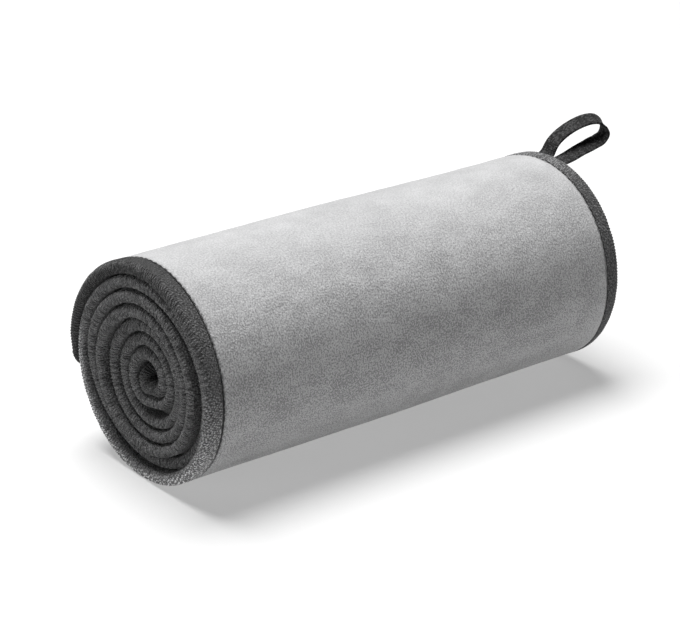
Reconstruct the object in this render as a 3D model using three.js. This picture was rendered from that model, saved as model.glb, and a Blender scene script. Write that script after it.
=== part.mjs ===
// Quick dry towel, rolled up and lying on its side. A narrow plush sports towel is wound into a
// spiral round an axis along X. Both long edges and both ends are bound, and a tape loop hangs
// it up. Millimetres, +Z up. The origin is the middle of the flat strip the roll rests on.
//
// The cloth is divided where the free end peels away (the flap_ meshes); in the real towel each
// ply, binding and seam thread runs on through that line.

import * as THREE from "three";

// The towel
const TOWEL_WIDTH = 200; // the length of the roll, along X
const TOWEL_THICKNESS = 5.35; // both plies with their pile
const PLY_GAP = 0.3; // between the two plies, and round every other piece

// The spiral, in turns counted inwards from straight back (+Y), by way of the top
const OUTER_RADIUS = 47.9; // of the outer surface at turn 0
const PITCH = 5.67; // radius lost in one turn
const RAYS = 20; // stations in one turn
const FREE_END = -1 / RAYS; // turn at which the outer end lies
const PEEL_LINE = 2.5 / RAYS; // turn at which the free end hinges outwards
const CORE_END = 7 + 2.5 / RAYS; // turn at which the inner end lies

// How the ideal spiral settles into the real one
const OUTER_CENTRE_Y = 0.93;
const CORE_CENTRE_Y = -2.87; // the core lies towards the front
const CORE_CENTRE_Z = -2.42; // and low
const OVALITY = 0.023; // wider than high
const FLATTENING = 0.11; // of the upper back, where the free end is pulled down
const FLATTENED_ANGLE = 45; // degrees above straight back
const FLATTENED_SPREAD = 53;
const CORE_SLUMP = 2.8; // how far the core's underside is pushed in
const SLUMP_AT = 0.7; // as a part of a turn
const SLUMP_SPREAD = 0.11;
const SLUMP_FROM = 5.3; // the turns inside this one slump
const TUCK = 3.2; // how far the second turn slips towards +X
const TUCK_AT = 1.65;
const TUCK_SPREAD = 0.29;
const DISH = 2.8; // how far the core slips the same way
const DISH_FROM = 2.8; // turns between which it starts and is complete
const DISH_TO = 4.6;
const THINNED_FROM = 0.013; // turn from which the free end thins out
const THINNED_TO = 0.4; // share of the thickness left at the end
const SWELLING = 0.5; // of the inner side of the innermost winding
const SWOLLEN_FROM = 6.2;
const SWOLLEN_TO = 6.6;

// The edge binding, folded over the edge as a U
const BINDING_THICKNESS = 0.9;
const BINDING_WIDTH = 6.4; // of each leg
const THREAD_WIDTH = 0.7; // the seam thread, lying in the groove beside each leg
const THREAD_HEIGHT = 0.6;

// The hanging loop
const TAPE_WIDTH = 8;
const TAPE_THICKNESS = 1.1;
const TAPE_TILT = 12; // degrees its front edge hangs below its back edge, at the tip
const TAPE_TURN = 24; // degrees its back edge swings outwards, at the tip
const LOOP_STEPS = 30;

const HALF_WIDTH = TOWEL_WIDTH / 2;
const SKIN = TOWEL_THICKNESS / 2; // from the middle of the cloth to either surface
const LEG_INSIDE = SKIN - BINDING_THICKNESS;
const PRESSED = LEG_INSIDE - PLY_GAP; // the pile's surface where a leg holds it down
const THREAD_START = BINDING_WIDTH + PLY_GAP; // distances from the towel's edge
const THREAD_FINISH = THREAD_START + THREAD_WIDTH;
const PILE_START = THREAD_FINISH + PLY_GAP;
const PILE_RISE = 0.3;
const CORNER = THREAD_START; // radius of the towel's corners
const CORNER_STEPS = 6;

const CLOTH = new THREE.MeshStandardMaterial({ color: 0xb4b6b9, roughness: 1 });
const BINDING = new THREE.MeshStandardMaterial({ color: 0x4b4e53, roughness: 0.9 });
const THREAD = new THREE.MeshStandardMaterial({ color: 0x303236, roughness: 0.8 });
const TAPE = new THREE.MeshStandardMaterial({ color: 0x26282c, roughness: 0.8 });

// --- The shape of the roll -------------------------------------------------------------------

function bump(distance, spread) {
  return Math.exp(-((distance / spread) ** 2));
}

// Radius of the middle of the cloth in the ideal spiral.
function middleRadius(turn) {
  const slump = turn > SLUMP_FROM ? CORE_SLUMP * bump((turn % 1) - SLUMP_AT, SLUMP_SPREAD) : 0;
  return OUTER_RADIUS - SKIN - PITCH * turn - slump;
}

// How far the winding has slipped along the roll.
function slip(turn) {
  const tuck = TUCK * Math.exp(-(((turn - TUCK_AT) / TUCK_SPREAD) ** 4));
  return tuck + DISH * THREE.MathUtils.smoothstep(turn, DISH_FROM, DISH_TO);
}

// Heights, with the free end thinned from outside and the core swollen from inside.
function thickened(turn, height) {
  const share = THREE.MathUtils.mapLinear(turn, FREE_END, THINNED_FROM, THINNED_TO, 1);
  const thinned = (height + SKIN) * Math.min(1, share) - SKIN;
  const swollen = 1 + SWELLING * THREE.MathUtils.smoothstep(turn, SWOLLEN_FROM, SWOLLEN_TO);
  return thinned < 0 ? thinned * swollen : thinned;
}

// The real place of a point of the cloth: its turn, its place across the towel (x), and its
// height over the middle of the cloth (positive outwards).
function place(turn, x, height) {
  const radius = middleRadius(turn) + thickened(turn, height);
  const angle = 2 * Math.PI * turn;
  const fromFlat = THREE.MathUtils.euclideanModulo(360 * turn - FLATTENED_ANGLE, 360);
  const nearest = fromFlat > 180 ? fromFlat - 360 : fromFlat;
  const oval = 1 + OVALITY * Math.cos(2 * angle);
  const stretch = oval * (1 - FLATTENING * bump(nearest, FLATTENED_SPREAD));
  const depth = 1 - radius / (OUTER_RADIUS - PITCH / 2);
  const y = OUTER_CENTRE_Y + (CORE_CENTRE_Y - OUTER_CENTRE_Y) * depth;
  return new THREE.Vector3(
    x + slip(turn),
    y + radius * stretch * Math.cos(angle),
    CORE_CENTRE_Z * depth + radius * stretch * Math.sin(angle),
  );
}

// The cloth is flat between neighbouring rays, so that every piece of one layer, and the layers
// inside and outside it, keep the same facets. The first facet runs on to the free end.
function onFacet(turn, x, height) {
  const ray = Math.max(-1, Math.floor(turn * RAYS - 0.5 + 1e-9));
  const before = place((ray + 0.5) / RAYS, x, height);
  const after = place((ray + 1.5) / RAYS, x, height);
  return before.lerp(after, turn * RAYS - 0.5 - ray);
}

// The middle of the facet the roll rests on. Two rays stand evenly on either side of straight
// down, and the strip between them is pressed level by the towel's weight.
const REST = onFacet(0.75, 0, SKIN);

// A point of the cloth in the part's own frame.
function settle(turn, x, height) {
  const point = onFacet(turn, x, height);
  point.y -= REST.y;
  point.z -= REST.z;
  if (Math.abs(turn - 0.75) < 0.51 / RAYS && height === SKIN) point.z = 0;
  return point;
}

// The turn a given distance along the cloth from another turn.
function along(turn, distance) {
  return turn + distance / (2 * Math.PI * middleRadius(turn));
}

// --- Building meshes -------------------------------------------------------------------------

// One closed body through a row of rings. All rings have the same number of points, and their
// outline as a flat polygon closes the two ends.
function bodyThrough(rings, outline) {
  const count = rings[0].length;
  const positions = [];
  for (const ring of rings) {
    for (const point of ring) positions.push(point.x, point.y, point.z);
  }
  const triangles = [];
  for (let step = 0; step + 1 < rings.length; step++) {
    for (let i = 0; i < count; i++) {
      const a = step * count + i;
      const b = step * count + ((i + 1) % count);
      triangles.push(a, b, b + count, a, b + count, a + count);
    }
  }
  const last = (rings.length - 1) * count;
  for (const [a, b, c] of THREE.ShapeUtils.triangulateShape(outline, [])) {
    triangles.push(c, b, a);
    triangles.push(last + a, last + b, last + c);
  }
  const geometry = new THREE.BufferGeometry();
  geometry.setAttribute("position", new THREE.Float32BufferAttribute(positions, 3));
  geometry.setIndex(triangles);
  geometry.computeVertexNormals();
  return geometry;
}

// Anticlockwise outline from [across, height] pairs, whichever way round they are given.
function outlineOf(pairs) {
  const outline = pairs.map(([across, height]) => new THREE.Vector2(across, height));
  return THREE.ShapeUtils.isClockWise(outline) ? outline.reverse() : outline;
}

// Every ray strictly between two turns.
function raysBetween(from, to) {
  const turns = [];
  const first = Math.max(0, Math.ceil(from * RAYS - 0.5 + 0.05));
  for (let ray = first; ray < to * RAYS - 0.5 - 0.05; ray++) turns.push((ray + 0.5) / RAYS);
  return turns;
}

// A piece with a constant outline, running along the length of the towel.
function alongTowel(pairs, from, to) {
  const outline = outlineOf(pairs);
  const turns = [from, ...raysBetween(from, to), to];
  const rings = turns.map((turn) => outline.map((point) => settle(turn, point.x, point.y)));
  return bodyThrough(rings, outline);
}

// How far inside the towel's long edge a line lies that follows its outline, corners and all, at
// that distance. The station is given by its length from the end.
function inset(fromEnd, distance) {
  if (fromEnd >= CORNER || distance >= CORNER) return distance;
  const reach = (CORNER - distance) ** 2 - (CORNER - fromEnd) ** 2;
  return CORNER - Math.sqrt(Math.max(0, reach));
}

// A ply, from [edge, distance from it, height] points. Within PILE_START of an end of the towel
// the end binding presses it thin.
function plyAlongTowel(points, from, to, endTurn, inward) {
  const insideEnd = BINDING_THICKNESS + PLY_GAP;
  const turnAt = (fromEnd) => along(endTurn, inward * fromEnd);
  const pressedTo = turnAt(PILE_START);
  const turns = [from, ...raysBetween(from, to), to, pressedTo, turnAt(PILE_START + PILE_RISE)];
  for (let step = 1; step <= CORNER_STEPS; step++) {
    const angle = (step / CORNER_STEPS) * (Math.PI / 2);
    turns.push(turnAt(CORNER - (CORNER - insideEnd) * Math.cos(angle)));
  }
  turns.sort((a, b) => a - b);
  const lengthOf = 2 * Math.PI * middleRadius(endTurn) * inward;
  const rings = turns.map((turn) => {
    const fromEnd = (turn - endTurn) * lengthOf;
    const pressed = inward * (turn - pressedTo) <= 0;
    return points.map(([edge, distance, height]) => {
      const limited = pressed ? Math.max(-PRESSED, Math.min(PRESSED, height)) : height;
      return settle(turn, edge * (HALF_WIDTH - inset(fromEnd, distance)), limited);
    });
  });
  const outline = points.map(([edge, distance, height]) => {
    return new THREE.Vector2(edge * (HALF_WIDTH - distance), height);
  });
  return bodyThrough(rings, outline);
}

// Adds a point to an outline wherever one of its long sides crosses a ray. The outline's first
// number is a distance from an end of the towel, inwards.
function withRays(pairs, endTurn, inward) {
  const reach = 2 * Math.PI * middleRadius(endTurn) * inward;
  const result = [];
  pairs.forEach(([distance, height], i) => {
    const [nextDistance, nextHeight] = pairs[(i + 1) % pairs.length];
    result.push([distance, height]);
    if (height !== nextHeight) return;
    const ends = [distance, nextDistance].map((value) => endTurn + value / reach);
    const crossed = raysBetween(Math.min(...ends), Math.max(...ends));
    if (ends[0] > ends[1]) crossed.reverse();
    for (const turn of crossed) result.push([(turn - endTurn) * reach, height]);
  });
  return result;
}

// A piece with a constant outline, running across the towel at one of its ends. Rings are
// [place across the towel, angle round a corner] pairs, the angle from 0 in line with the end to
// a quarter turn in line with a long edge.
function acrossTowel(pairs, endTurn, inward, rings) {
  const turnAt = (fromEnd) => along(endTurn, inward * fromEnd);
  const outline = outlineOf(withRays(pairs, endTurn, inward));
  const placed = rings.map(([x, angle]) =>
    outline.map(({ x: distance, y: height }) => {
      const bend = Math.min(0, distance - CORNER);
      const fromEnd = distance - bend + bend * Math.cos(angle);
      return settle(turnAt(fromEnd), x - Math.sign(x) * bend * Math.sin(angle), height);
    }),
  );
  if (inward > 0) placed.reverse();
  return bodyThrough(placed, outline);
}

const towel = new THREE.Group();
towel.name = "quick_dry_towel";

function add(name, geometry, material) {
  const mesh = new THREE.Mesh(geometry, material.clone());
  mesh.name = name;
  towel.add(mesh);
}

// --- Outlines, as [place across the towel, height over the middle of the cloth] ---------------

// One ply of plush: full height in the middle, pressed thin where the bindings hold it. The
// points are [edge, distance from it, height], the edge -1 near or 1 far.
function plyOutline(side) {
  const edge = BINDING_THICKNESS + PLY_GAP;
  const points = [
    [-1, edge, PLY_GAP / 2],
    [-1, edge, PRESSED],
    [-1, PILE_START, PRESSED],
    [-1, PILE_START + PILE_RISE, SKIN],
    [1, PILE_START + PILE_RISE, SKIN],
    [1, PILE_START, PRESSED],
    [1, edge, PRESSED],
    [1, edge, PLY_GAP / 2],
  ];
  const placed = points.map(([sign, distance, height]) => [sign, distance, side * height]);
  return side > 0 ? placed.reverse() : placed;
}

// A binding as a U with its back at the towel's edge. Distances are from that edge.
const BINDING_OUTLINE = [
  [0, -SKIN],
  [BINDING_WIDTH, -SKIN],
  [BINDING_WIDTH, -LEG_INSIDE],
  [BINDING_THICKNESS, -LEG_INSIDE],
  [BINDING_THICKNESS, LEG_INSIDE],
  [BINDING_WIDTH, LEG_INSIDE],
  [BINDING_WIDTH, SKIN],
  [0, SKIN],
];

// The seam thread beside a leg. Its top lies a little under the surface of the pile.
function threadOutline(side) {
  const bottom = side * LEG_INSIDE;
  const top = side * (LEG_INSIDE + THREAD_HEIGHT);
  return [
    [THREAD_START, bottom],
    [THREAD_FINISH, bottom],
    [THREAD_FINISH, top],
    [THREAD_START, top],
  ];
}

// Turns a distance from the near (-X) or far (+X) edge into a place across the towel.
function fromEdge(pairs, edge) {
  return pairs.map(([distance, height]) => [edge * (HALF_WIDTH - distance), height]);
}

// --- The cloth, its bindings and its seam threads --------------------------------------------

const EDGES = { near: -1, far: 1 };
const FACES = { face: 1, back: -1 };

// Adds everything that runs along one part of the towel, from one of its ends (endTurn) to the
// line where the free end peels away (splitTurn).
function addLengthwise(prefix, endTurn, splitTurn) {
  const inward = Math.sign(splitTurn - endTurn);
  const inOrder = (a, b) => [Math.min(a, b), Math.max(a, b)];
  const insideEnd = along(endTurn, inward * (BINDING_THICKNESS + PLY_GAP));
  for (const [face, side] of Object.entries(FACES)) {
    const [from, to] = inOrder(insideEnd, splitTurn);
    const ply = plyAlongTowel(plyOutline(side), from, to, endTurn, inward);
    add(prefix + face + "_panel", ply, CLOTH);
  }
  for (const [edge, sign] of Object.entries(EDGES)) {
    const binding = fromEdge(BINDING_OUTLINE, sign);
    const besideCorner = along(endTurn, inward * (CORNER + PLY_GAP));
    const span = inOrder(besideCorner, splitTurn);
    add(prefix + "binding_" + edge, alongTowel(binding, ...span), BINDING);
    const besideEnd = along(endTurn, inward * THREAD_START);
    for (const [face, side] of Object.entries(FACES)) {
      const thread = fromEdge(threadOutline(side), sign);
      const geometry = alongTowel(thread, ...inOrder(besideEnd, splitTurn));
      add(prefix + "thread_" + edge + "_" + face, geometry, THREAD);
    }
  }
}

addLengthwise("", CORE_END, along(PEEL_LINE, PLY_GAP / 2));
addLengthwise("flap_", FREE_END, along(PEEL_LINE, -PLY_GAP / 2));

// --- The bindings across the two ends, with their seam threads ---------------------------------

// Each end binding goes round both corners and meets the long ones beside them. The threads
// across the end fit between the long threads.
function addEnd(name, endTurn, inward) {
  const corner = HALF_WIDTH - CORNER;
  const rings = [];
  for (let step = 0; step <= CORNER_STEPS; step++) {
    const angle = (step / CORNER_STEPS) * (Math.PI / 2);
    rings.push([corner, angle]);
    rings.unshift([-corner, angle]);
  }
  add("binding_" + name, acrossTowel(BINDING_OUTLINE, endTurn, inward, rings), BINDING);
  const halfThread = HALF_WIDTH - PILE_START;
  const threadEnds = [
    [-halfThread, 0],
    [halfThread, 0],
  ];
  for (const [face, side] of Object.entries(FACES)) {
    const thread = acrossTowel(threadOutline(side), endTurn, inward, threadEnds);
    add("thread_" + name + "_" + face, thread, THREAD);
  }
}

addEnd("outer_end", FREE_END, 1);
addEnd("core_end", CORE_END, -1);

// --- The hanging loop --------------------------------------------------------------------------

// The middle of the tape, from the far edge of the towel (x = 0) and the top of the roll (z = 0).
// It rises from the edge, turns over at the tip and comes back beside and below itself.
const LOOP_PATH = [
  [0.3, 0.3, -1.3],
  [1.5, 0.2, -0.5],
  [4.0, -0.5, 3.9],
  [8.0, -1.3, 7.1],
  [13.8, -2.2, 9.6],
  [20.5, -3.1, 10.8],
  [24.8, -3.9, 10.2],
  [27.3, -4.7, 7.8],
  [27.0, -5.4, 5.1],
  [24.3, -6.1, 3.1],
  [18.5, -6.9, 1.9],
  [11.6, -7.6, 0.8],
  [4.2, -8.3, -0.7],
  [0.3, -8.4, -1.3],
];

function tapeLoop() {
  const top = settle(0.25, 0, SKIN).z;
  const points = LOOP_PATH.map(([x, y, z]) => new THREE.Vector3(HALF_WIDTH + x, y, top + z));
  const path = new THREE.CatmullRomCurve3(points);
  const outline = outlineOf([
    [-TAPE_WIDTH / 2, -TAPE_THICKNESS / 2],
    [TAPE_WIDTH / 2, -TAPE_THICKNESS / 2],
    [TAPE_WIDTH / 2, TAPE_THICKNESS / 2],
    [-TAPE_WIDTH / 2, TAPE_THICKNESS / 2],
  ]);
  const rings = [];
  for (let step = 0; step <= LOOP_STEPS; step++) {
    const twist = Math.sin((step / LOOP_STEPS) * Math.PI);
    const tilt = THREE.MathUtils.degToRad(TAPE_TILT) * twist;
    const turn = THREE.MathUtils.degToRad(TAPE_TURN) * twist;
    const across = new THREE.Vector3(Math.sin(turn), Math.cos(turn), Math.sin(tilt)).normalize();
    const middle = path.getPointAt(step / LOOP_STEPS);
    const tangent = path.getTangentAt(step / LOOP_STEPS);
    if (step === 0) tangent.set(1, 0, 0);
    if (step === LOOP_STEPS) tangent.set(-1, 0, 0);
    const up = new THREE.Vector3().crossVectors(across, tangent).normalize();
    const wide = new THREE.Vector3().crossVectors(tangent, up);
    rings.push(
      outline.map((point) =>
        middle.clone().addScaledVector(wide, -point.x).addScaledVector(up, point.y),
      ),
    );
  }
  return bodyThrough(rings, outline);
}

add("hanging_loop", tapeLoop(), TAPE);

export default towel;
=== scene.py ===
# Quick dry towel, rolled up and lying on its side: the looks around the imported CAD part.
#
# The towel is one long strip of plush wound into a spiral round the X axis, with a ribbed
# binding folded over all four edges and a tape loop to hang it up. Every piece is swept along
# the same spiral that the CAD part follows. Shapes are worked out in millimetres in the part's
# frame, +Z up, and turned into metres as each mesh is made.

import math

import bpy
import numpy as np
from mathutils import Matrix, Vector, noise


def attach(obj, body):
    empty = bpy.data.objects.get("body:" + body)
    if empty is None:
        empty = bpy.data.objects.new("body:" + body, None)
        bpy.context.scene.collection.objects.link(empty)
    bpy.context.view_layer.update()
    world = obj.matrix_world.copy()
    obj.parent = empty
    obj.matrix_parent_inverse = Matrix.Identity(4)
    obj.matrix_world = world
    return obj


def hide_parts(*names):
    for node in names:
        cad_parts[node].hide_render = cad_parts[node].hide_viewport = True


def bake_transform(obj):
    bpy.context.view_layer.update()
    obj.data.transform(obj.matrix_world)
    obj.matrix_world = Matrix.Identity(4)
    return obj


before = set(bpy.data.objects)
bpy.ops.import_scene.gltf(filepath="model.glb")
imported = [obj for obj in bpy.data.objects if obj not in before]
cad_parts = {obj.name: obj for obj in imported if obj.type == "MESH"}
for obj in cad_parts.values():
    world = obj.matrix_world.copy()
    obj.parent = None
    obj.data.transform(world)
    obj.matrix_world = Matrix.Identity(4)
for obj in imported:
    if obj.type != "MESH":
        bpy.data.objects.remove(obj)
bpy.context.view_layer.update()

MM = 0.001

# The towel, as in the CAD part: millimetres, degrees and turns of the spiral
TOWEL_WIDTH = 200
TOWEL_THICKNESS = 5.35
OUTER_RADIUS = 47.9
PITCH = 5.67
RAYS = 20
FREE_END = -1 / RAYS  # turns are counted inwards from straight back (+Y) by way of the top
PEEL_LINE = 2.5 / RAYS
CORE_END = 7 + 2.5 / RAYS
OUTER_CENTRE_Y = 0.93
CORE_CENTRE_Y = -2.87
CORE_CENTRE_Z = -2.42
OVALITY = 0.023
FLATTENING = 0.11
FLATTENED_ANGLE = 45
FLATTENED_SPREAD = 53
CORE_SLUMP = 2.8
SLUMP_AT = 0.7
SLUMP_SPREAD = 0.11
SLUMP_FROM = 5.3
TUCK = 3.2
TUCK_AT = 1.65
TUCK_SPREAD = 0.29
DISH = 2.8
DISH_FROM = 2.8
DISH_TO = 4.6
THINNED_FROM = 0.013
THINNED_TO = 0.4
SWELLING = 0.5  # of the inner side of the innermost winding
SWOLLEN_FROM = 6.2
SWOLLEN_TO = 6.6
BINDING_THICKNESS = 0.9
BINDING_WIDTH = 6.4
THREAD_START = 6.7  # distances of a seam thread's two sides from the edge
THREAD_FINISH = 7.4
CORNER = 6.7  # rounding of the towel's four corners
REST_Y = 0.788  # the CAD part's origin, from the axis of its spiral
REST_Z = -42.234

HALF_WIDTH = TOWEL_WIDTH / 2
SKIN = TOWEL_THICKNESS / 2
LEG_INSIDE = SKIN - BINDING_THICKNESS

# How soft things differ from the CAD's flat facets
PRESSED_BASE = 0.3  # how gently the underside flattens on the floor
WANDER = 0.3  # of the windings along the roll, with its waves a turn and where they start
WANDER_RATE = 0.83
WANDER_START = 0.6
SWAY = 0.22  # of all the windings together, across the roll
SWAY_LENGTH = 23
CORE_DIP = 1.2  # how much further the last stretch has slipped
DIP_FROM = CORE_END - 0.4
DIP_TO = CORE_END - 0.1
THINNEST_AT = FREE_END - 0.02
SEEN_TURNS = 1.15  # how much of the spiral lies outermost, where its face is seen

# The pile and the bindings
UNDER_BINDING = LEG_INSIDE - 0.3  # height of the face where a binding presses it down
CLOTH_EDGE = 1.1  # where the plies stop inside their binding
GROOVE = 7.3  # distance from the edge at which the pile starts to rise
SHOULDER = 2.4  # width over which it rises
COVER = 0.65  # how much nearer it starts where it covers the seam
COVERED_FROM = 145  # lengths between which it comes to cover the near seam
COVERED_TO = 200
CORNER_GATHER = 0.05  # how closely the lines of the cloth gather where a corner cuts them off
CREEP = 6.0  # how far the pile has crept over the far binding, low on the front
CREEP_FADE = 45
CREEP_STARTS = (0.45, 0.67)
CREEP_STOPS = (0.8, 1.02)
CREEP_ABOVE = 0.2  # height over the cloth's middle
EDGE_RADIUS = 1.9  # rounding of the bound edge
SQUEEZE = 0.13  # of the binding's thickness, inside the first winding
SQUEEZED_OVER = 60
RIB_PITCH = 1.2
STITCH = 3.0

# The third flat coordinate of each kind of piece, which keeps their textures apart
CLOTH_LAYER = 8
EDGE_LAYER = 30
END_LAYER = 60
SEAM_LAYER = 90.0
TAPE_LAYER = 150.0


# --- The shape of the roll --------------------------------------------------------------------


def bump(distance, spread):
    """A smooth hump, 1 high."""
    return np.exp(-((distance / spread) ** 2))


def smooth_step(value, low, high):
    """A smooth rise from 0 at the low value to 1 at the high one."""
    t = np.clip((value - low) / (high - low), 0, 1)
    return t * t * (3 - 2 * t)


def middle_radius(turn):
    """The radius of the cloth's middle, before the roll is made oval."""
    slump = np.where(turn > SLUMP_FROM, CORE_SLUMP * bump(turn % 1 - SLUMP_AT, SLUMP_SPREAD), 0)
    return OUTER_RADIUS - SKIN - PITCH * turn - slump


def slip(turn):
    """How far the winding has slipped along the roll, with a little wandering of its own."""
    tuck = TUCK * np.exp(-(((turn - TUCK_AT) / TUCK_SPREAD) ** 4))
    wander = WANDER * np.sin(2 * np.pi * turn * WANDER_RATE + WANDER_START) * np.clip(turn, 0, 1)
    dip = CORE_DIP * smooth_step(turn, DIP_FROM, DIP_TO)
    return tuck + DISH * smooth_step(turn, DISH_FROM, DISH_TO) + dip + wander


def thickened(turn, height):
    """Heights, with the free end thinned from outside and the core swollen from inside."""
    share = THINNED_TO + (1 - THINNED_TO) * smooth_step(turn, THINNEST_AT, THINNED_FROM)
    thinned = (height + SKIN) * share - SKIN
    swollen = 1 + SWELLING * smooth_step(turn, SWOLLEN_FROM, SWOLLEN_TO)
    return np.where(thinned < 0, thinned * swollen, thinned)


def creep(turn, x, height):
    """How far the pile has crept outwards over the face of the far binding."""
    from_edge = HALF_WIDTH - x
    most = GROOVE + SHOULDER
    share = np.minimum(from_edge / most, 1 - smooth_step(from_edge, most, CREEP_FADE))
    low_front = smooth_step(turn, *CREEP_STARTS) * (1 - smooth_step(turn, *CREEP_STOPS))
    on_face = smooth_step(height, CREEP_ABOVE, UNDER_BINDING)
    return CREEP * np.clip(share, 0, 1) * low_front * on_face


def place(turn, x, height):
    """Points of the cloth from their turn, place across the towel and height over its middle."""
    radius = middle_radius(turn) + thickened(turn, height)
    angle = 2 * np.pi * turn
    from_flat = (360 * turn - FLATTENED_ANGLE) % 360
    nearest = np.where(from_flat > 180, from_flat - 360, from_flat)
    oval = 1 + OVALITY * np.cos(2 * angle)
    stretch = oval * (1 - FLATTENING * bump(nearest, FLATTENED_SPREAD))
    depth = 1 - radius / (OUTER_RADIUS - PITCH / 2)
    centre_y = OUTER_CENTRE_Y + (CORE_CENTRE_Y - OUTER_CENTRE_Y) * depth
    out = radius * stretch + SWAY * np.sin(x / SWAY_LENGTH + 2 * angle)
    z = CORE_CENTRE_Z * depth + out * np.sin(angle) - REST_Z
    resting = (z + np.sqrt(z**2 + 4 * PRESSED_BASE**2)) / 2 - PRESSED_BASE / 3
    moved = x + slip(turn) + creep(turn, x, height)
    return np.stack([moved, centre_y + out * np.cos(angle) - REST_Y, resting], axis=-1)


CURVE_POINTS = 20001
TURNS = np.linspace(FREE_END, CORE_END, CURVE_POINTS)
MIDDLE_LINE = place(TURNS, 0 * TURNS, 0 * TURNS)
LENGTHS = np.concatenate([[0], np.cumsum(np.linalg.norm(np.diff(MIDDLE_LINE, axis=0), axis=1))])
TOWEL_LENGTH = LENGTHS[-1]
PEEL_LENGTH = float(np.interp(PEEL_LINE, TURNS, LENGTHS))
FIRST_TURN = float(np.interp(FREE_END + SEEN_TURNS, TURNS, LENGTHS))


def turn_at(length):
    """The turn at a length along the cloth, running on straight past both ends."""
    start = (TURNS[1] - TURNS[0]) / (LENGTHS[1] - LENGTHS[0])
    finish = (TURNS[-1] - TURNS[-2]) / (LENGTHS[-1] - LENGTHS[-2])
    beyond = start * np.minimum(length, 0) + finish * np.maximum(length - TOWEL_LENGTH, 0)
    return np.interp(length, LENGTHS, TURNS) + beyond


def lumps(a, b, size, seed):
    """Smooth noise from -1 to 1 over flat cloth, with lumps of about that size."""
    flat_a, flat_b = np.broadcast_arrays(a, b)
    values = [
        noise.noise(Vector((p / size, q / size, seed)))
        for p, q in zip(flat_a.ravel(), flat_b.ravel())
    ]
    return np.array(values).reshape(flat_a.shape)


# --- Building meshes --------------------------------------------------------------------------


def grid_normals(rings):
    """Smooth normals of a closed tube of rings, pointing out of it."""
    around = np.roll(rings, -1, axis=1) - np.roll(rings, 1, axis=1)
    along = np.gradient(rings, axis=0)
    normals = np.cross(around, along)
    normals /= np.linalg.norm(normals, axis=2, keepdims=True) + 1e-12
    centre = rings.mean(axis=1, keepdims=True)
    outwards = np.sum(normals * (rings - centre)) > 0
    return normals if outwards else -normals


def tube(name, rings, flat, normals=None):
    """One closed body through rings of points (in millimetres), with its flat coordinates."""
    steps, count = rings.shape[:2]
    index = np.arange(steps * count).reshape(steps, count)
    a = index[:-1]
    b = np.roll(a, -1, axis=1)
    c = np.roll(index[1:], -1, axis=1)
    quads = np.stack([a, b, c, index[1:]], axis=-1).reshape(-1, 4)
    if normals is None:
        normals = grid_normals(rings)
    points = rings.reshape(-1, 3)
    facing = np.cross(points[quads[:, 1]] - points[quads[:, 0]],
                      points[quads[:, 3]] - points[quads[:, 0]])
    if np.sum(facing * normals.reshape(-1, 3)[quads[:, 0]]) < 0:
        quads = quads[:, ::-1]
        caps = [index[0].tolist(), index[-1][::-1].tolist()]
    else:
        caps = [index[0][::-1].tolist(), index[-1].tolist()]
    mesh = bpy.data.meshes.new(name)
    mesh.from_pydata((points * MM).tolist(), [], quads.tolist() + caps)
    smooth = np.ones(len(mesh.polygons), bool)
    smooth[-2:] = False
    mesh.polygons.foreach_set("use_smooth", smooth)
    mesh.normals_split_custom_set_from_vertices(normals.reshape(-1, 3).tolist())
    place_on_cloth = mesh.attributes.new("flat", "FLOAT_VECTOR", "POINT")
    place_on_cloth.data.foreach_set("vector", flat.reshape(-1).astype(np.float32))
    piece = bpy.data.objects.new(name, mesh)
    bpy.context.scene.collection.objects.link(piece)
    return piece


# --- Materials --------------------------------------------------------------------------------


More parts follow.
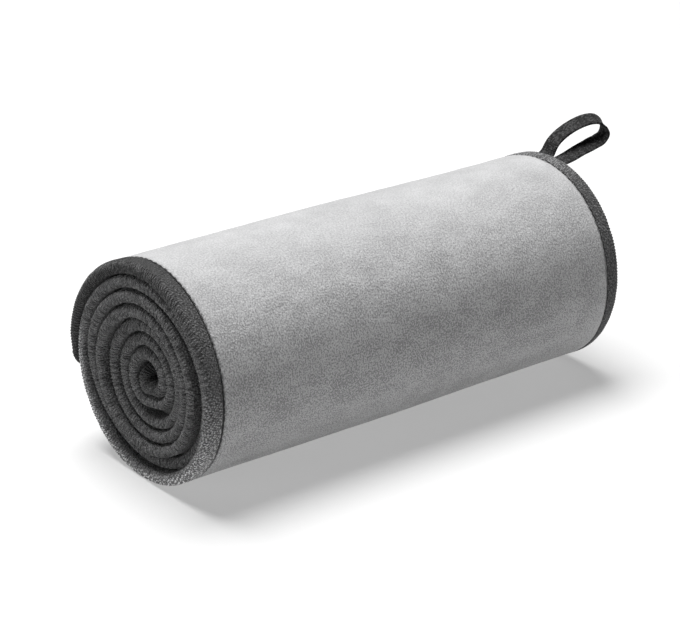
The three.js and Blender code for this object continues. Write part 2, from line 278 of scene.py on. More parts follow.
class Shader:
    """A Principled material whose nodes read the cloth's own flat coordinates, in millimetres."""

    def __init__(self, name, **constants):
        self.material = bpy.data.materials.new(name)
        self.material.use_nodes = True
        self.nodes = self.material.node_tree.nodes
        self.principled = self.nodes["Principled BSDF"]
        for socket, value in constants.items():
            self.principled.inputs[socket.replace("_", " ")].default_value = value
        attribute = self.nodes.new("ShaderNodeAttribute")
        attribute.attribute_name = "flat"
        self.flat = attribute.outputs["Vector"]

    def feed(self, socket, value):
        """Link a socket to another node's output, or set it to a constant."""
        if isinstance(value, bpy.types.NodeSocket):
            self.material.node_tree.links.new(value, socket)
        else:
            socket.default_value = value

    def stretched(self, a, b, turned=0.0):
        """The flat coordinates scaled by each factor, then turned by an angle in degrees."""
        node = self.nodes.new("ShaderNodeMapping")
        self.feed(node.inputs["Vector"], self.flat)
        node.inputs["Scale"].default_value = (a, b, 1)
        node.inputs["Rotation"].default_value = (0, 0, math.radians(turned))
        return node.outputs["Vector"]

    def noise(self, size, detail=2.0, vector=None, distortion=0.0):
        """Soft noise round 0.5, with lumps of about that size."""
        node = self.nodes.new("ShaderNodeTexNoise")
        self.feed(node.inputs["Vector"], vector or self.flat)
        node.inputs["Scale"].default_value = 1 / size
        node.inputs["Detail"].default_value = detail
        node.inputs["Distortion"].default_value = distortion
        return node.outputs["Fac"]

    def cells(self, size, vector):
        """Distance from the nearest cell's middle, and that cell's own random colour."""
        node = self.nodes.new("ShaderNodeTexVoronoi")
        node.voronoi_dimensions = "2D"
        self.feed(node.inputs["Vector"], vector)
        node.inputs["Scale"].default_value = 1 / size
        node.inputs["Randomness"].default_value = 0.6
        return node.outputs["Distance"], node.outputs["Color"]

    def waves(self, size, vector, distortion=0.0):
        """Ridges across the first coordinate, from 0 to 1."""
        node = self.nodes.new("ShaderNodeTexWave")
        self.feed(node.inputs["Vector"], vector)
        node.inputs["Scale"].default_value = math.pi / (10 * size)
        node.inputs["Distortion"].default_value = distortion
        return node.outputs["Fac"]

    def math(self, operation, *values):
        """The result of one Math operation."""
        node = self.nodes.new("ShaderNodeMath")
        node.operation = operation
        for socket, given in zip(node.inputs, values):
            self.feed(socket, given)
        return node.outputs["Value"]

    def scaled(self, value, factor, added):
        """The value times the factor, plus what is added."""
        return self.math("MULTIPLY_ADD", value, factor, added)

    def ranged(self, value, low, high, to_low=0.0, to_high=1.0):
        """The value taken smoothly from one range to another, and no further."""
        node = self.nodes.new("ShaderNodeMapRange")
        node.interpolation_type = "SMOOTHSTEP"
        for socket, given in zip(node.inputs, (value, low, high, to_low, to_high)):
            self.feed(socket, given)
        return node.outputs["Result"]

    def part(self, axis):
        """One of the flat coordinates."""
        node = self.nodes.new("ShaderNodeSeparateXYZ")
        self.feed(node.inputs["Vector"], self.flat)
        return node.outputs[axis]

    def mix(self, factor, a, b):
        """From colour a to colour b."""
        node = self.nodes.new("ShaderNodeMix")
        node.data_type = "RGBA"
        self.feed(node.inputs["Factor"], factor)
        self.feed(node.inputs["A"], a)
        self.feed(node.inputs["B"], b)
        return node.outputs["Result"]

    def bumped(self, height, depth, normal=None):
        """A bump of that depth in millimetres."""
        node = self.nodes.new("ShaderNodeBump")
        node.inputs["Distance"].default_value = depth * MM
        self.feed(node.inputs["Height"], height)
        if normal:
            self.feed(node.inputs["Normal"], normal)
        return node.outputs["Normal"]

    def finish(self, colour, normal):
        """The material, with its colour and its relief."""
        self.feed(self.principled.inputs["Base Color"], colour)
        self.feed(self.principled.inputs["Normal"], normal)
        return self.material


def grey(value):
    """A very slightly cool grey."""
    return (value, value, value * 1.01, 1)


# Greys of the pile, the knit bindings, the thread and the tape
PILE_DARK = 0.205
PILE_PALE = 0.455
KNIT_DARKEST = 0.008
KNIT_DARK = 0.032
KNIT_PALE = 0.2
THREAD_DARK = 0.012
THREAD_PALE = 0.045
FLUFF = 0.22
TAPE_DARK = 0.005
TAPE_PALE = 0.07

# Places on the flat towel between which its materials change, in millimetres
GRAINY_ALONG = (85, 150)
# Where the pile beside the far binding, low on the front, gets a painted highlight
PAINTED_HIGHLIGHT_ALONG = (120, 180)
PAINTED_HIGHLIGHT_ACROSS = (83, 93)
# Stretches of the bindings painted darker as shade: from the outer end over the top of the roll,
# and the last one inside the core
SHADED_START = (50, 160)
SHADED_CORE = (TOWEL_LENGTH - 30, TOWEL_LENGTH - 5)
LEG_OVER = (1.8, 3.8)
# Where across the binding its flecks show: partly wear, and partly a painted reflection of light
# off the floor
WEAR_AND_REFLECTION_OVER = (-2.6, 1.0)
FLECKS_FADE_IN = 60
FLECKS_FADE_OUT = 25
FLUFF_FADE_IN = 60


def plush_material():
    """Short dense pile: fine suede-like grain, patches in its nap and a soft bloom at the edges.
    The grain shows more from the top of the roll downwards. Low on the front, the pile beside
    the far binding is made lighter: a painted highlight."""
    s = Shader("plush", Roughness=1.0, Sheen_Weight=0.25, Sheen_Roughness=0.6,
               Specular_IOR_Level=0.15)
    along = s.part("X")
    across = s.part("Y")
    grain = s.noise(size=0.62, detail=3.0)
    nap = s.noise(size=5.5, detail=3.0, vector=s.stretched(1, 0.55), distortion=0.4)
    patches = s.noise(size=14, detail=4.0)
    tone = s.scaled(nap, 0.16, s.math("MULTIPLY", grain, 0.82))
    middle_tone = 0.49
    contrast = s.ranged(along, *GRAINY_ALONG, 0.5, 1.8)
    tone = s.scaled(s.math("SUBTRACT", tone, middle_tone), contrast, middle_tone)
    tone = s.scaled(patches, 0.15, tone)
    # Painted highlight: the pile beside the far binding, low on the front, is made lighter
    painted_highlight = s.math("MULTIPLY", s.ranged(across, *PAINTED_HIGHLIGHT_ACROSS), s.ranged(along, *PAINTED_HIGHLIGHT_ALONG))
    tone = s.scaled(painted_highlight, 0.16, tone)
    colour = s.mix(s.ranged(tone, 0.375, 0.755), grey(PILE_DARK), grey(PILE_PALE))
    tufts = s.bumped(s.noise(size=0.7, detail=3.0), depth=0.28)
    return s.finish(colour, s.bumped(nap, depth=0.3, normal=tufts))


def binding_material(name, fleck_from, fleck_to, fleck_tone=0.8, end_tone=0.25):
    """Dark knit tape, ribbed across, with lighter flecks of yarn between two lengths; low on the
    front of the near edge they are partly wear and partly a painted reflection of light off the
    floor. The first stretch from the outer end, over the top of the roll, is painted darker as
    shade, and so is the last one, inside the core."""
    s = Shader(name, Roughness=0.85, Sheen_Weight=0.2, Sheen_Roughness=0.4,
               Specular_IOR_Level=0.25)
    along = s.part("X")
    over = s.part("Y")
    yarn = s.waves(size=0.5, vector=s.stretched(1, 0.35), distortion=1.2)
    distance, shade = s.cells(size=0.8, vector=s.stretched(1.0, 0.75, 28))
    knots = s.ranged(distance, 0.15, 0.52, 1, 0)

    on_leg = s.ranged(s.math("ABSOLUTE", over), *LEG_OVER)
    ribs = s.noise(size=1.0, vector=s.stretched(1, 0.13))
    specks = s.noise(size=0.7)
    streaks = s.scaled(on_leg, s.math("SUBTRACT", specks, ribs), ribs)
    tone = s.math("MULTIPLY", s.ranged(streaks, 0.36, 0.64), s.scaled(knots, 0.6, 0.4))

    # Painted shade: darker over the first stretch from the outer end and over the last stretch
    # inside the core
    start = s.scaled(on_leg, -0.7 * end_tone, end_tone)
    unshaded = s.math("MULTIPLY", s.ranged(along, *SHADED_START, start, 1),
                   s.ranged(along, *SHADED_CORE, 1, 0.5))
    darkest = s.mix(unshaded, grey(KNIT_DARKEST), grey(KNIT_DARK))
    colour = s.mix(s.math("MULTIPLY", tone, unshaded), darkest, grey(KNIT_PALE))

    # Paler flecks of yarn: partly wear, and low on the front of the near edge partly a painted
    # reflection of light off the floor
    wear_and_reflection_stretch = s.math("MULTIPLY", s.ranged(along, fleck_from, fleck_from + FLECKS_FADE_IN),
                     s.ranged(along, fleck_to, fleck_to + FLECKS_FADE_OUT, 1, 0))
    worn = s.math("MULTIPLY", wear_and_reflection_stretch, s.ranged(over, *WEAR_AND_REFLECTION_OVER))
    flecks = s.scaled(knots, s.ranged(shade, 0.15, 0.6, 0.2, 1.0), 0.08)
    colour = s.mix(s.math("MULTIPLY", flecks, worn), colour, grey(fleck_tone))
    body = s.bumped(yarn, depth=0.15)
    return s.finish(colour, s.bumped(knots, depth=0.16, normal=body))


def thread_material(name, dark_to):
    """Dark thread, covered by the pile's own fluff beyond a length along the cloth."""
    s = Shader(name, Roughness=0.6, Specular_IOR_Level=0.4)
    twist = s.waves(size=0.45, vector=s.stretched(1, 1.4))
    thread = s.mix(twist, grey(THREAD_DARK), grey(THREAD_PALE))
    covered = s.ranged(s.part("X"), dark_to, dark_to + FLUFF_FADE_IN)
    return s.finish(s.mix(covered, thread, grey(FLUFF)), s.bumped(twist, depth=0.12))


def tape_material():
    """Flat twill tape: fine diagonal ridges, broken up a little by wear."""
    s = Shader("loop_tape", Roughness=0.85, Sheen_Weight=0.06, Sheen_Roughness=0.4,
               Specular_IOR_Level=0.2)
    ridges = s.waves(size=0.7, vector=s.stretched(1, 1, 35), distortion=2.0)
    worn = s.noise(size=0.9, detail=3.0)
    tone = s.math("MULTIPLY", s.ranged(worn, 0.42, 0.68), s.scaled(ridges, 0.6, 0.4))
    body = s.bumped(worn, depth=0.14)
    return s.finish(s.mix(tone, grey(TAPE_DARK), grey(TAPE_PALE)),
                    s.bumped(ridges, depth=0.16, normal=body))


PLUSH = plush_material()
THREAD = {
    "near": thread_material("seam_thread_near", dark_to=140),
    "far": thread_material("seam_thread_far", dark_to=-60),
}
TAPE = tape_material()
# Low on the front, its bright flecks are partly a painted reflection of light off the floor
NEAR_BINDING = binding_material("edge_binding_near", 124, 262)
FAR_BINDING = binding_material("edge_binding_far", -100, 84, fleck_tone=0.29, end_tone=0.55)
# The end bindings get no flecks: their stretches of flecks lie outside both corners.
OUTER_END_BINDING = binding_material("edge_binding_outer_end", -400, -125)
CORE_END_BINDING = binding_material("edge_binding_core_end", 1000, 1001)


def dress(piece, material, slot, *nodes):
    """Give a piece its material, and hide the CAD nodes it stands in for. The slot is not used."""
    piece.data.materials.append(material)
    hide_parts(*nodes)
    return piece


# --- The cloth --------------------------------------------------------------------------------

HIDDEN_LINES = [CLOTH_EDGE, 1.7, 2.5, 3.5, 4.8, CORNER]  # distances from the edge
SHOULDER_STEP = 0.4
PILE_STEP = 1.05
INNER_STEP = 3.2
PEEL_CLEARANCE = 0.6  # the least space between the peel line and the station before it
OUTER_COLUMNS = 132
INNER_COLUMNS = 20
RAGGED = 0.35  # how far the pile's edge strays, and the size of each stray
RAGGED_SIZE = 3.5
EDGES_APART = 40  # so that the two edges don't stray alike
RELIEF = [(0.06, 2.8, 0.0), (0.10, 8.5, 3.0), (0.20, 38, 5.0)]  # depth, size and seed
RELIEF_FADE = 15


def rounded(t):
    """A quarter-round rise from 0 to 1."""
    t = np.clip(t, 0, 1)
    return np.sqrt(1 - (1 - t) ** 2)


def split_at_peel(name, stations, rings, flat):
    """The flap's and the roll's part of one swept piece, meeting with the same normals."""
    normals = grid_normals(rings)
    cut = int(np.searchsorted(stations, PEEL_LENGTH - 1e-6))
    flap = tube("flap_" + name, rings[: cut + 1], flat[: cut + 1], normals[: cut + 1])
    return flap, tube(name, rings[cut:], flat[cut:], normals[cut:])


def inside_corner(from_end, distance):
    """How far inside the long edge a line lies that keeps its distance round the corners too."""
    reach = (CORNER - distance) ** 2 - (CORNER - from_end) ** 2
    kept_apart = (CORNER_GATHER * (CORNER - distance)) ** 2
    bent = CORNER - np.sqrt(np.maximum(reach, kept_apart))
    return np.where((from_end < CORNER) & (distance < CORNER), bent, distance)


def cloth_lines():
    """The section's lines as places across the towel, with the side of the cloth each is on."""
    shoulder = np.arange(GROOVE, GROOVE + SHOULDER + SHOULDER_STEP / 2, SHOULDER_STEP)
    from_edge = np.concatenate([HIDDEN_LINES, shoulder])
    border = HALF_WIDTH - from_edge
    faces = []
    for columns in (OUTER_COLUMNS, INNER_COLUMNS):
        open_pile = np.linspace(-border[-1], border[-1], columns)[1:-1]
        faces.append(np.concatenate([-border, open_pile, border[::-1]]))
    outer, inner = faces
    x = np.concatenate([outer, inner[::-1]])
    side = np.concatenate([np.ones(len(outer)), -np.ones(len(inner))])
    return from_edge, x, side


def cloth_rings():
    """Both plies as one closed skin: stations along the cloth, and the lines of each section."""
    from_edge, x, side = cloth_lines()
    end = TOWEL_LENGTH
    stations = np.unique(np.round(np.concatenate([
        from_edge,
        np.arange(from_edge[-1], PEEL_LENGTH - PEEL_CLEARANCE, PILE_STEP),
        [PEEL_LENGTH],
        np.arange(PEEL_LENGTH + PILE_STEP, FIRST_TURN, PILE_STEP),
        np.arange(FIRST_TURN, end - from_edge[-1], INNER_STEP),
        end - from_edge,
    ]), 5))
    along = stations[:, None]
    across = np.broadcast_to(x, (len(stations), len(x)))
    from_end = np.minimum(along, end - along)
    edge = HALF_WIDTH - np.abs(across)
    apart = np.sign(across) * EDGES_APART + 0 * along
    ragged = RAGGED * lumps(along, apart, RAGGED_SIZE, seed=7.0)
    covered = np.where(across > 0, 1, smooth_step(along, COVERED_FROM, COVERED_TO))
    rise = np.minimum(
        rounded((edge - GROOVE + COVER * covered + ragged) / SHOULDER),
        rounded((from_end - GROOVE) / SHOULDER),
    )
    height = UNDER_BINDING + (SKIN - UNDER_BINDING) * rise
    relief = sum(depth * lumps(along, across, size, seed) for depth, size, seed in RELIEF)
    shown = np.clip((FIRST_TURN - along) / RELIEF_FADE, 0, 1) * (side > 0) * rise
    height = side * height + shown * relief
    inset = HALF_WIDTH - inside_corner(from_end, edge)
    rings = place(turn_at(along) + 0 * across, np.sign(across) * inset, height)
    flat = np.stack([along + 0 * across, across, CLOTH_LAYER * side + 0 * across], axis=-1)
    return stations, rings, flat


flap_cloth, roll_cloth = split_at_peel("cloth", *cloth_rings())
dress(flap_cloth, PLUSH, "plush", "flap_face_panel", "flap_back_panel")
dress(roll_cloth, PLUSH, "plush", "face_panel", "back_panel")


# --- The bindings -----------------------------------------------------------------------------

# The tip of a leg as (how far short of the full width, height) pairs
LEG_TIP = [
    (0.1, LEG_INSIDE + 0.1),
    (0.0, LEG_INSIDE + 0.45),
    (0.35, SKIN - 0.08),
    (1.4, SKIN),
    (2.8, SKIN),
]
BACK_CROWN = 0.06
INNER_TIP = BINDING_WIDTH - 0.4
INNER_POINTS = [
    (INNER_TIP, -LEG_INSIDE),
    (BINDING_THICKNESS, -LEG_INSIDE),
    (BINDING_THICKNESS, LEG_INSIDE),
    (INNER_TIP, LEG_INSIDE),
]
RIB_HEIGHT = 0.17
RIB_SLANT = 0.3
RIB_DRIFT = 0.5
RIB_DRIFT_SIZE = 14
LEG_FLATNESS = 0.75  # how much lower the ribs are on the legs than round the back
LEG_FROM = 2.2  # distances from the middle of the back between which they get lower
LEG_TO = 4.2
UNEVENNESS = 0.10
UNEVEN_SIZE = 4.5
PUCKER = 0.12
PUCKER_SIZE = 6.0
FLAP_STATIONS = 170
ROLL_STATIONS = 4100
END_STATIONS = 830


def binding_outline():
    """The U of a binding as (distance from the edge, height) pairs, and each one's place over
    the outside of the U in millimetres: 0 in the middle of the back, positive on the face."""
    corner = np.linspace(0, np.pi / 2, 5)
    face = [
        *((BINDING_WIDTH - short, height) for short, height in LEG_TIP),
        *zip(EDGE_RADIUS * (1 - np.sin(corner)), SKIN - EDGE_RADIUS * (1 - np.cos(corner))),
    ]
    back = [(distance, -height) for distance, height in reversed(face)]
    outside = np.array([*face, (-BACK_CROWN, 0.0), *back])
    steps = np.linalg.norm(np.diff(outside, axis=0), axis=1)
    over = np.concatenate([[0], np.cumsum(steps)])
    over = over[len(over) // 2] - over
    outline = np.concatenate([outside, INNER_POINTS])
    return outline, np.concatenate([over, np.zeros(len(INNER_POINTS))])


def outline_normals(outline):
    """Normals of a closed outline, pointing out of it."""
    tangent = np.roll(outline, -1, axis=0) - np.roll(outline, 1, axis=0)
    normal = np.stack([tangent[:, 1], -tangent[:, 0]], axis=-1)
    normal /= np.linalg.norm(normal, axis=1, keepdims=True)
    middle = outline.mean(axis=0)
    return normal if np.sum(normal * (outline - middle)) > 0 else -normal


def ribbed(stations, seed):
    """The binding's outline at each station, raised into ribs across it and a little uneven."""
    outline, over = binding_outline()
    normal = outline_normals(outline)
    outside = len(outline) - len(INNER_POINTS)
    shown = np.zeros(len(outline))
    shown[1 : outside - 1] = 1
    along = stations[:, None]
    drift = RIB_DRIFT * lumps(along, 0 * along, RIB_DRIFT_SIZE, seed)
    rib = np.cos(2 * np.pi * (along + RIB_SLANT * over + drift) / RIB_PITCH)
    uneven = UNEVENNESS * lumps(along, over[None, :], UNEVEN_SIZE, seed + 1)
    on_leg = smooth_step(np.abs(over), LEG_FROM, LEG_TO)
    raised = (RIB_HEIGHT * (1 - LEG_FLATNESS * on_leg) * rib + uneven) * shown
    return outline[None] + raised[:, :, None] * normal[None], over


def slimmed(stations, profile):
    """Inside the first winding the binding is squeezed, which leaves a gap between the layers."""
    inner = smooth_step(stations, FIRST_TURN - SQUEEZED_OVER, FIRST_TURN)[:, None]
    heights = profile[..., 1] * (1 - SQUEEZE * inner)
    return np.stack([profile[..., 0], heights], axis=-1)


def edge_binding(name, edge, seed):
    """Along one long edge (-1 is the near one), from corner to corner, in two parts."""
    stations = np.unique(np.concatenate([
        np.linspace(CORNER, PEEL_LENGTH, FLAP_STATIONS),
        np.linspace(PEEL_LENGTH, TOWEL_LENGTH - CORNER, ROLL_STATIONS),
    ]))
    profile, over = ribbed(stations, seed)
    profile = slimmed(stations, profile)
    along = np.broadcast_to(stations[:, None], profile.shape[:2])
    pucker = PUCKER * lumps(stations[:, None], 0 * stations[:, None], PUCKER_SIZE, seed + 2)
    x = edge * (HALF_WIDTH + pucker - profile[..., 0])
    rings = place(turn_at(along), x, profile[..., 1])
    flat = np.stack([
        along,
        np.broadcast_to(over, along.shape),
        EDGE_LAYER * edge + 0 * along,
    ], axis=-1)
    return split_at_peel(name, stations, rings, flat)


def end_binding(name, at, inwards, seed):
    """Across the towel and round both corners, at a length along it. Inwards is 1 or -1."""
    straight = HALF_WIDTH - CORNER
    reach = straight + CORNER * np.pi / 2
    stations = np.linspace(-reach, reach, END_STATIONS)
    profile, over = ribbed(stations, seed)
    profile = slimmed(np.full(len(stations), at), profile)
    angle = (np.maximum(np.abs(stations) - straight, 0) / CORNER)[:, None]
    bend = profile[..., 0] - CORNER
    from_end = CORNER + bend * np.cos(angle)
    middle = np.clip(stations, -straight, straight)[:, None]
    x = middle - np.sign(middle) * bend * np.sin(angle)
    rings = place(turn_at(at + inwards * from_end), x, profile[..., 1])
    flat = np.stack([
        stations[:, None] + 0 * x,
        np.broadcast_to(over, x.shape),
        END_LAYER * inwards + 0 * x,
    ], axis=-1)
    return tube(name, rings, flat)


flap_near, roll_near = edge_binding("binding_near_edge", -1, seed=11.0)
flap_far, roll_far = edge_binding("binding_far_edge", 1, seed=17.0)
outer_end = end_binding("binding_across_outer_end", 0, 1, seed=23.0)
core_end = end_binding("binding_across_core_end", TOWEL_LENGTH, -1, seed=29.0)
dress(flap_near, NEAR_BINDING, "edge_binding", "flap_binding_near")
dress(roll_near, NEAR_BINDING, "edge_binding", "binding_near")
dress(flap_far, FAR_BINDING, "edge_binding", "flap_binding_far")
dress(roll_far, FAR_BINDING, "edge_binding", "binding_far")
dress(outer_end, OUTER_END_BINDING, "edge_binding", "binding_outer_end")
dress(core_end, CORE_END_BINDING, "edge_binding", "binding_core_end")


# --- The seams --------------------------------------------------------------------------------

THREAD_SIDES = 8
THREAD_RADIUS = 0.15  # where it goes into the cloth, and how much it grows between
THREAD_SWELL = 0.22
THREAD_LIFT = 0.12
STITCH_RISE = 0.25
END_SEAM_CLEARANCE = 0.3  # between an end seam and the edge seams
FLAP_SEAM_STATIONS = 70
ROLL_SEAM_STATIONS = 1700
END_SEAM_STATIONS = 300


def stitched(stations, side):
    """A row of stitches as an outline of (distance from the edge, height) at each station."""
    around = np.linspace(0, 2 * np.pi, THREAD_SIDES, endpoint=False)
    phase = np.abs(np.sin(np.pi * stations / STITCH))[:, None]
    radius = THREAD_RADIUS + THREAD_SWELL * np.sqrt(phase)
    distance = (THREAD_START + THREAD_FINISH) / 2 + radius * np.cos(around)
    height = side * (LEG_INSIDE + THREAD_LIFT + STITCH_RISE * phase) + radius * np.sin(around)
    flat = np.stack(np.broadcast_arrays(stations[:, None], around / 3, SEAM_LAYER), axis=-1)
    return distance, height, flat


def edge_seam(name, edge, side):
    """The stitches along one long edge, on the face (1) or the back (-1), in two parts."""
    stations = np.unique(np.concatenate([
        np.linspace(THREAD_START, PEEL_LENGTH, FLAP_SEAM_STATIONS),
        np.linspace(PEEL_LENGTH, TOWEL_LENGTH - THREAD_START, ROLL_SEAM_STATIONS),
    ]))
    distance, height, flat = stitched(stations, side)
    along = np.broadcast_to(stations[:, None], distance.shape)
    rings = place(turn_at(along), edge * (HALF_WIDTH - distance), height)
    return split_at_peel(name, stations, rings, flat)


def end_seam(name, at, inwards, side):
    """The stitches across the towel, at a length along it."""
    reach = HALF_WIDTH - THREAD_FINISH - END_SEAM_CLEARANCE
    stations = np.linspace(-reach, reach, END_SEAM_STATIONS)
    distance, height, flat = stitched(stations, side)
    x = np.broadcast_to(stations[:, None], distance.shape)
    return tube(name, place(turn_at(at + inwards * distance), x, height), flat)


flap_pieces = [flap_cloth, flap_near, flap_far, outer_end]
roll_pieces = [roll_cloth, roll_near, roll_far, core_end]
for face, side in (("face", 1), ("back", -1)):
    for edge_name, edge in (("near", -1), ("far", 1)):
        node = f"thread_{edge_name}_{face}"
        in_flap, in_roll = edge_seam(f"stitches_{edge_name}_{face}", edge, side)
        thread = THREAD[edge_name]
        flap_pieces.append(dress(in_flap, thread, "seam_thread", "flap_" + node))
        roll_pieces.append(dress(in_roll, thread, "seam_thread", node))
    outer = end_seam(f"stitches_outer_end_{face}", 0, 1, side)
    flap_pieces.append(dress(outer, THREAD["near"], "seam_thread", f"thread_outer_end_{face}"))
    core = end_seam(f"stitches_core_end_{face}", TOWEL_LENGTH, -1, side)
    roll_pieces.append(dress(core, THREAD["near"], "seam_thread", f"thread_core_end_{face}"))


# --- The hanging loop -------------------------------------------------------------------------

TAPE_WIDTH = 8
TAPE_THICKNESS = 1.1
TAPE_TILT = 12  # how far the tape leans and turns halfway round the loop, in degrees
TAPE_TURN = 24
SELVAGE = 0.35
SELVAGE_BULGE = 0.4
TAPE_COLUMNS = 14
TAPE_STATIONS = 420
TWILL_HEIGHT = 0.03
TWILL_PITCH = 0.6
CUPPING = 0.022
CURVE_STEPS = 60  # between two given points of the path
TOP = 0.25  # the turn at the top of the roll

# As in the part: the middle of the tape from the far edge (x = 0) and the top of the roll
# (z = 0), with both ends carried on into the binding that holds them.
LOOP_PATH = [
    [-3.0, 0.4, -1.6],
    [0.3, 0.3, -1.3],
    [1.5, 0.2, -0.5],
    [4.0, -0.5, 3.9],
    [8.0, -1.3, 7.1],
    [13.8, -2.2, 9.6],
    [20.5, -3.1, 10.8],
    [24.8, -3.9, 10.2],
    [27.3, -4.7, 7.8],
    [27.0, -5.4, 5.1],
    [24.3, -6.1, 3.1],
    [18.5, -6.9, 1.9],
    [11.6, -7.6, 0.8],
    [4.2, -8.3, -0.7],
    [0.3, -8.4, -1.3],
    [-3.0, -8.4, -1.6],
]


def smooth_path(points, count):
    """Evenly spaced points on a centripetal Catmull-Rom curve through the given ones, and the
    length along the curve at each."""
    p = np.array(points, float)
    p = np.concatenate([[2 * p[0] - p[1]], p, [2 * p[-1] - p[-2]]])
    found = []
    for i in range(1, len(p) - 2):
        knots = np.cumsum([0, *np.linalg.norm(np.diff(p[i - 1 : i + 3], axis=0), axis=1) ** 0.5])
        t = np.linspace(knots[1], knots[2], CURVE_STEPS, endpoint=False)[:, None]
        a = [
            p[i - 1 + k] + (p[i + k] - p[i - 1 + k]) * (t - knots[k]) / (knots[k + 1] - knots[k])
            for k in range(3)
        ]
        b = [
            a[k] + (a[k + 1] - a[k]) * (t - knots[k]) / (knots[k + 2] - knots[k])
            for k in range(2)
        ]
        found.append(b[0] + (b[1] - b[0]) * (t - knots[1]) / (knots[2] - knots[1]))
    fine = np.concatenate([*found, p[-2:-1]])
    length = np.concatenate([[0], np.cumsum(np.linalg.norm(np.diff(fine, axis=0), axis=1))])
    even = np.linspace(0, length[-1], count)
    return even, np.stack([np.interp(even, length, fine[:, k]) for k in range(3)], axis=-1)


def tape_outline():
    """Anticlockwise outline of the tape's section, with soft edges, as (across, up) pairs."""
    half_thick = TAPE_THICKNESS / 2
    flat_to = TAPE_WIDTH / 2 - SELVAGE
    across = np.linspace(-flat_to, flat_to, TAPE_COLUMNS)
    top = np.stack([across, half_thick + 0 * across], axis=-1)
    turn = np.linspace(np.pi / 2, -np.pi / 2, 5)[1:-1]
    right = np.stack([flat_to + SELVAGE_BULGE * np.cos(turn), half_thick * np.sin(turn)], axis=-1)
    return np.concatenate([top, right, -top, -right])


def hanging_loop():
    """The tape swept along its path, twisting a little and cupped across its width."""
    top = place(np.array(TOP), np.array(0.0), np.array(SKIN))[2]
    corner = np.array([HALF_WIDTH, 0, top])
    along, middle = smooth_path(LOOP_PATH, TAPE_STATIONS)
    middle = middle + corner
    tangent = np.gradient(middle, axis=0)
    tangent /= np.linalg.norm(tangent, axis=1, keepdims=True)
    twist = np.sin(np.pi * along / along[-1])
    tilt = math.radians(TAPE_TILT) * twist
    turn = math.radians(TAPE_TURN) * twist
    up = np.cross(np.stack([np.sin(turn), np.cos(turn), np.sin(tilt)], axis=-1), tangent)
    up /= np.linalg.norm(up, axis=1, keepdims=True)
    wide = np.cross(tangent, up)
    outline = tape_outline()
    across = outline[:, 0][None]
    lift = outline[:, 1][None]
    ridge = TWILL_HEIGHT * np.cos(2 * np.pi * (along[:, None] + across) / TWILL_PITCH)
    cupped = CUPPING * across**2 * twist[:, None]
    height = lift * (1 + ridge / TAPE_THICKNESS * 2) - cupped
    rings = (
        middle[:, None]
        - across[..., None] * wide[:, None]
        + height[..., None] * up[:, None]
    )
    flat = np.stack(np.broadcast_arrays(along[:, None], across, TAPE_LAYER), axis=-1)
    return tube("tape_loop", rings, flat)


tape_loop = dress(hanging_loop(), TAPE, "loop_tape", "hanging_loop")


# --- How the pieces move ----------------------------------------------------------------------


for piece in roll_pieces:
    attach(piece, "roll")
for piece in flap_pieces:
    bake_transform(piece)
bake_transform(tape_loop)


# --- Floor, light and camera ------------------------------------------------------------------

FLOOR_REACH = 8  # metres each way
FLOOR_TONE = 0.385
FLOOR_GLOW = 0.365
# The sky's strength falls from one value to the other between two heights of view.
SKY_BY_HEIGHT = {"From Min": 0.1, "From Max": 0.35, "To Min": 0.24, "To Max": 0.02}
CAMERA_TARGET = Vector((0, 0.00768, 0.03671))  # metres
CAMERA_SIDE = Vector((-0.5667, -0.7279, 0.3859))  # direction from the target to the camera
CAMERA_DISTANCE = 0.871  # metres
CAMERA_LENS = 117.3
SENSOR_WIDTH = 36


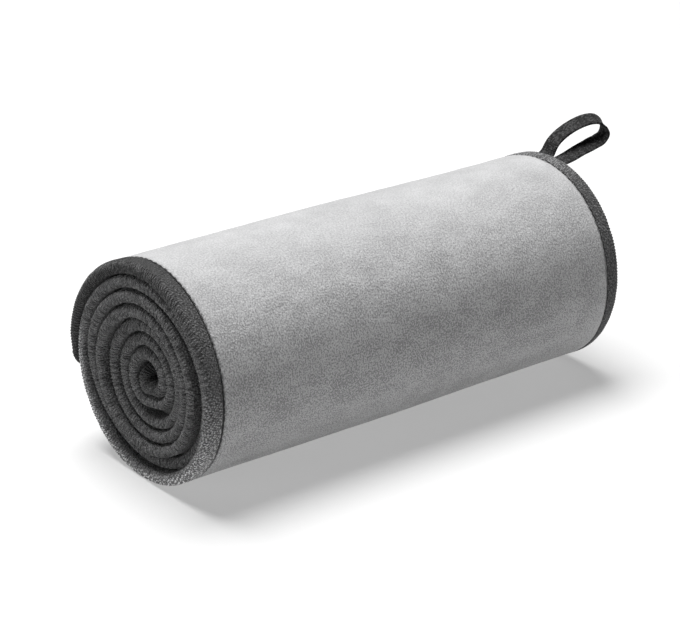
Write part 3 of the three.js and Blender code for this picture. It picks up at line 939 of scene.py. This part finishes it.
def floor():
    """A plain pale floor with a faint glow of its own."""
    r = FLOOR_REACH
    corners = [(-r, -r, 0), (r, -r, 0), (r, r, 0), (-r, r, 0)]
    mesh = bpy.data.meshes.new("floor")
    mesh.from_pydata(corners, [], [(0, 1, 2, 3)])
    made = bpy.data.objects.new("floor", mesh)
    bpy.context.scene.collection.objects.link(made)
    material = bpy.data.materials.new("floor")
    material.use_nodes = True
    shader = material.node_tree.nodes["Principled BSDF"]
    shader.inputs["Base Color"].default_value = (FLOOR_TONE, FLOOR_TONE, FLOOR_TONE, 1)
    shader.inputs["Emission Color"].default_value = (1, 1, 1, 1)
    shader.inputs["Emission Strength"].default_value = FLOOR_GLOW
    shader.inputs["Roughness"].default_value = 0.9
    shader.inputs["Specular IOR Level"].default_value = 0.0
    mesh.materials.append(material)


def area_light(name, position, target, size, power):
    """A round soft light: size in metres, power in watts."""
    data = bpy.data.lights.new(name, "AREA")
    data.shape = "DISK"
    data.size = size
    data.energy = power
    light = bpy.data.objects.new(name, data)
    light.location = position
    direction = Vector(target) - Vector(position)
    light.rotation_euler = direction.to_track_quat("-Z", "Y").to_euler()
    bpy.context.scene.collection.objects.link(light)


def studio():
    """A key light overhead, a weak one facing the near end, and a sky paler by the horizon."""
    world = bpy.data.worlds.new("studio")
    world.use_nodes = True
    nodes = world.node_tree.nodes
    links = world.node_tree.links
    background = nodes["Background"]
    background.inputs["Color"].default_value = (1, 1, 1, 1)
    direction = nodes.new("ShaderNodeTexCoord")
    parts = nodes.new("ShaderNodeSeparateXYZ")
    links.new(direction.outputs["Generated"], parts.inputs["Vector"])
    paler = nodes.new("ShaderNodeMapRange")
    paler.interpolation_type = "SMOOTHSTEP"
    links.new(parts.outputs["Z"], paler.inputs["Value"])
    for socket, value in SKY_BY_HEIGHT.items():
        paler.inputs[socket].default_value = value
    links.new(paler.outputs["Result"], background.inputs["Strength"])
    bpy.context.scene.world = world
    area_light("overhead", (0.0, 0.38, 1.55), (0, 0, 0), size=1.1, power=56)
    area_light("end_fill", (-1.35, -0.12, 0.2), (-0.1, 0, 0.04), size=0.8, power=5.0)
    bpy.context.scene.view_settings.view_transform = "Standard"


def photographer():
    """The camera, looking down at the near end from the front left."""
    back = CAMERA_SIDE.normalized()
    data = bpy.data.cameras.new("camera")
    data.sensor_width = SENSOR_WIDTH
    data.lens = CAMERA_LENS
    data.clip_start = 0.05
    camera = bpy.data.objects.new("camera", data)
    camera.location = CAMERA_TARGET + back * CAMERA_DISTANCE
    camera.rotation_euler = back.to_track_quat("Z", "Y").to_euler()
    bpy.context.scene.collection.objects.link(camera)
    bpy.context.scene.camera = camera


floor()
studio()
photographer()
